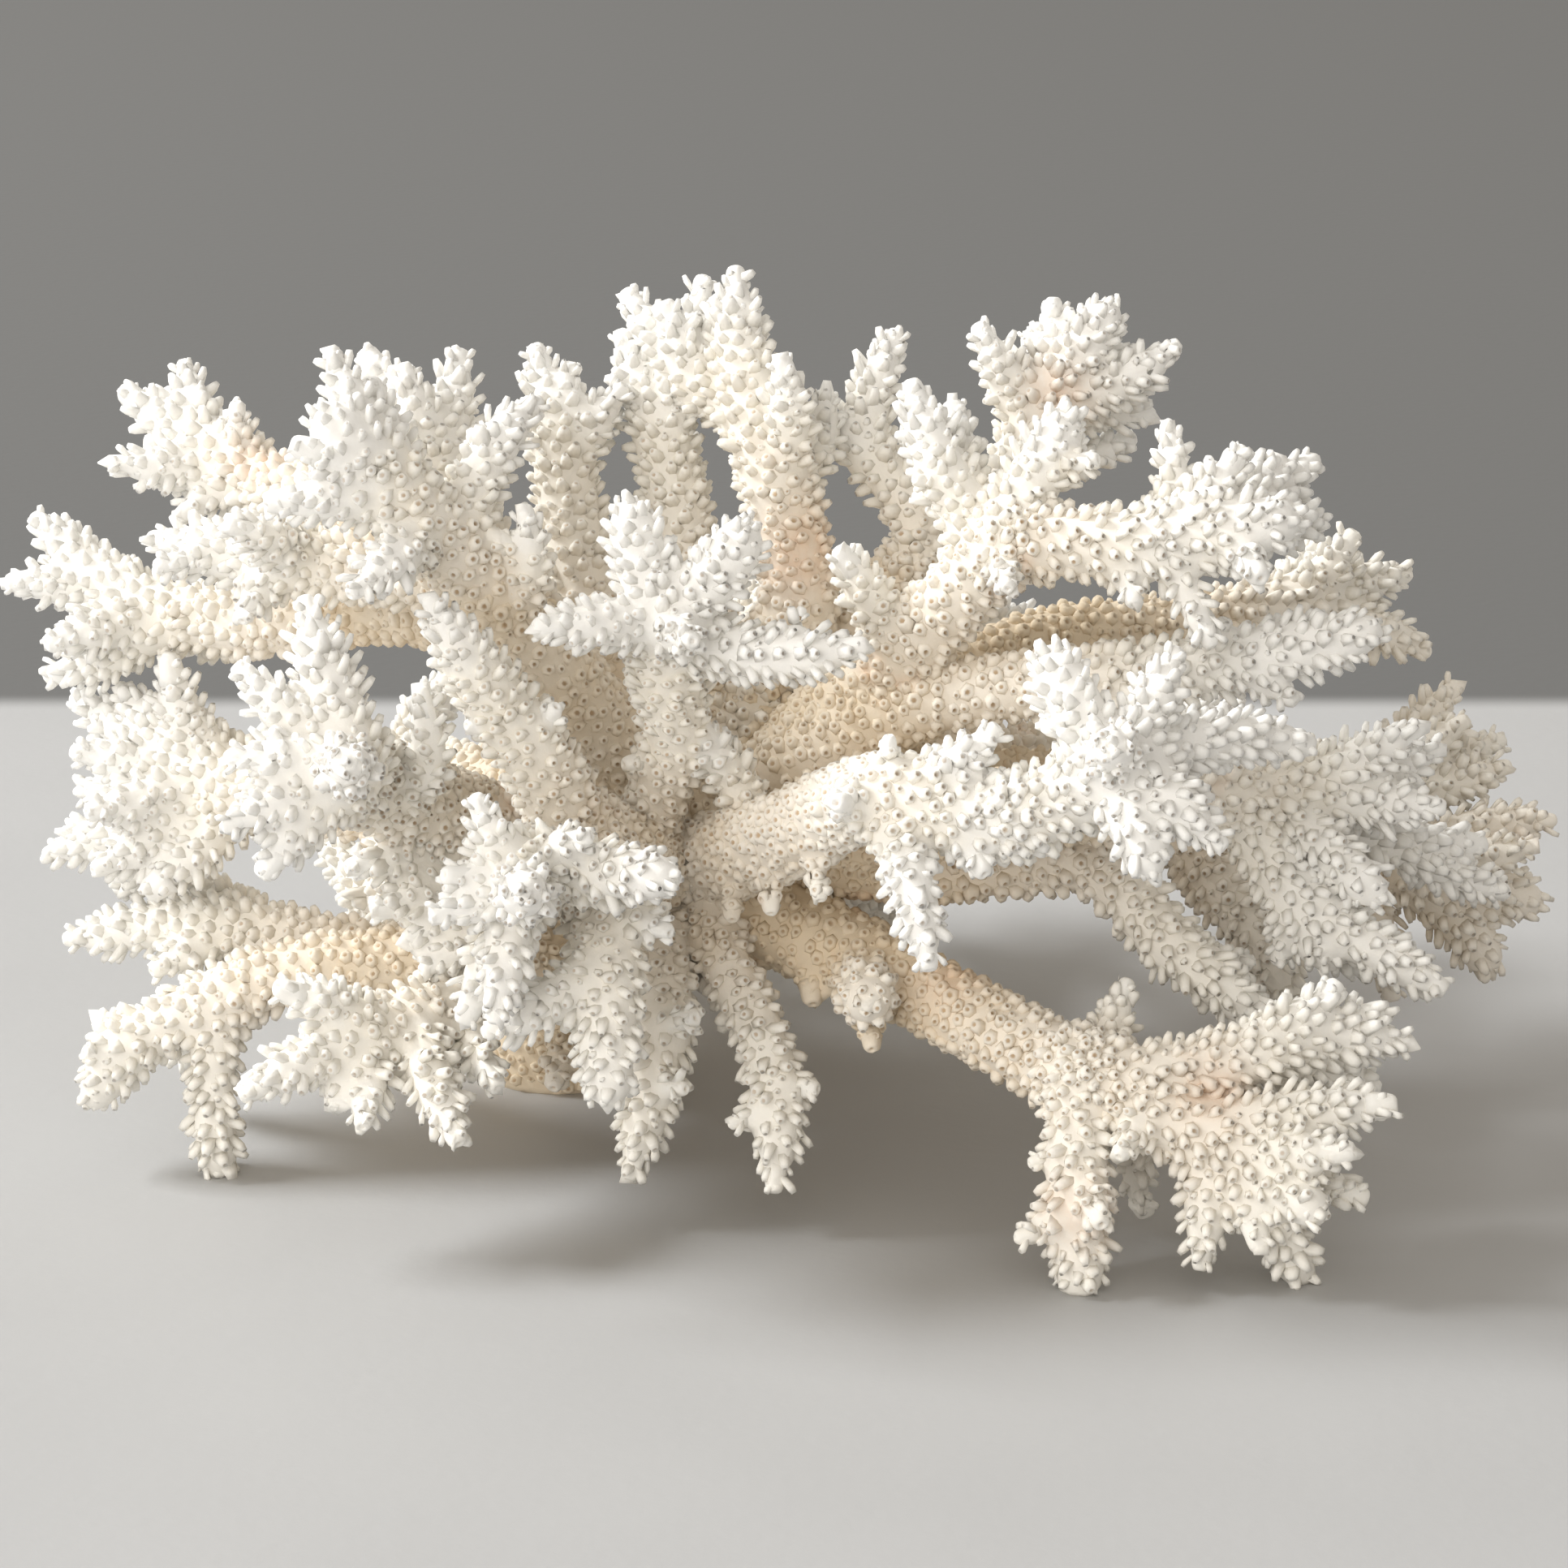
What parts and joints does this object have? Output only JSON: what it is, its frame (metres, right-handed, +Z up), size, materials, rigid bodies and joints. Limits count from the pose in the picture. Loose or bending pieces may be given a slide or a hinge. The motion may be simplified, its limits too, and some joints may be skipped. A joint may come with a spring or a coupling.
{
  "type": "branching coral colony",
  "caption": "Bleached white branching coral colony with knobbly fingers in rosettes, cut off flat at its base so that it stands by itself.",
  "frame": {"origin": "middle of the flat cut under the base, on the surface that the coral stands on", "axes": "+Z up, +X to the right and -Y toward the viewer of the picture, who looks along +Y"},
  "size_m": [0.249, 0.1838, 0.1358],
  "materials": {
    "old_tan": "matte",
    "limb_cream": "matte",
    "young_white": "matte"
  },
  "bodies": {
    "root": {"base_and_trunk": "old_tan", "left_main_limb": "limb_cream", "left_rosette": "young_white", "left_low_cluster": "young_white", "left_low_limb": "limb_cream", "lower_left_limb": "limb_cream", "front_low_left_cluster": "young_white", "front_rosette": "young_white", "front_hanging_branch": "young_white", "second_hanging_branch": "limb_cream", "diagonal_branch": "young_white", "centre_cluster": "young_white", "upper_left_limb": "young_white", "upper_left_inner_limb": "limb_cream", "upper_left_back_cluster": "limb_cream", "mid_left_limb": "young_white", "far_left_limb": "limb_cream", "left_back_upright": "limb_cream", "middle_back_upright": "limb_cream", "top_limb": "limb_cream", "right_back_upright": "limb_cream", "right_upper_limb": "limb_cream", "right_upper_arm": "young_white", "back_crown": "limb_cream", "brown_back_limb": "old_tan", "far_right_limb": "limb_cream", "far_right_low_limb": "limb_cream", "back_right_hanging_limb": "limb_cream", "cream_limb": "limb_cream", "centre_right_cluster": "young_white", "star_cluster": "young_white", "right_middle_limb": "limb_cream", "right_descending_limb": "limb_cream", "arch_limb": "limb_cream", "centre_hanging_branch": "limb_cream", "big_right_lower_limb": "limb_cream", "foot_branch": "young_white", "bottom_right_limb": "limb_cream", "bottom_right_cluster": "young_white", "back_left_limb": "limb_cream", "back_low_limb": "limb_cream", "back_middle_limb": "limb_cream", "back_right_limb": "limb_cream", "back_right_low_limb": "limb_cream", "back_left_low_limb": "limb_cream", "back_upper_left_limb": "limb_cream", "back_upper_right_limb": "limb_cream"}
  },
  "joints": []
}
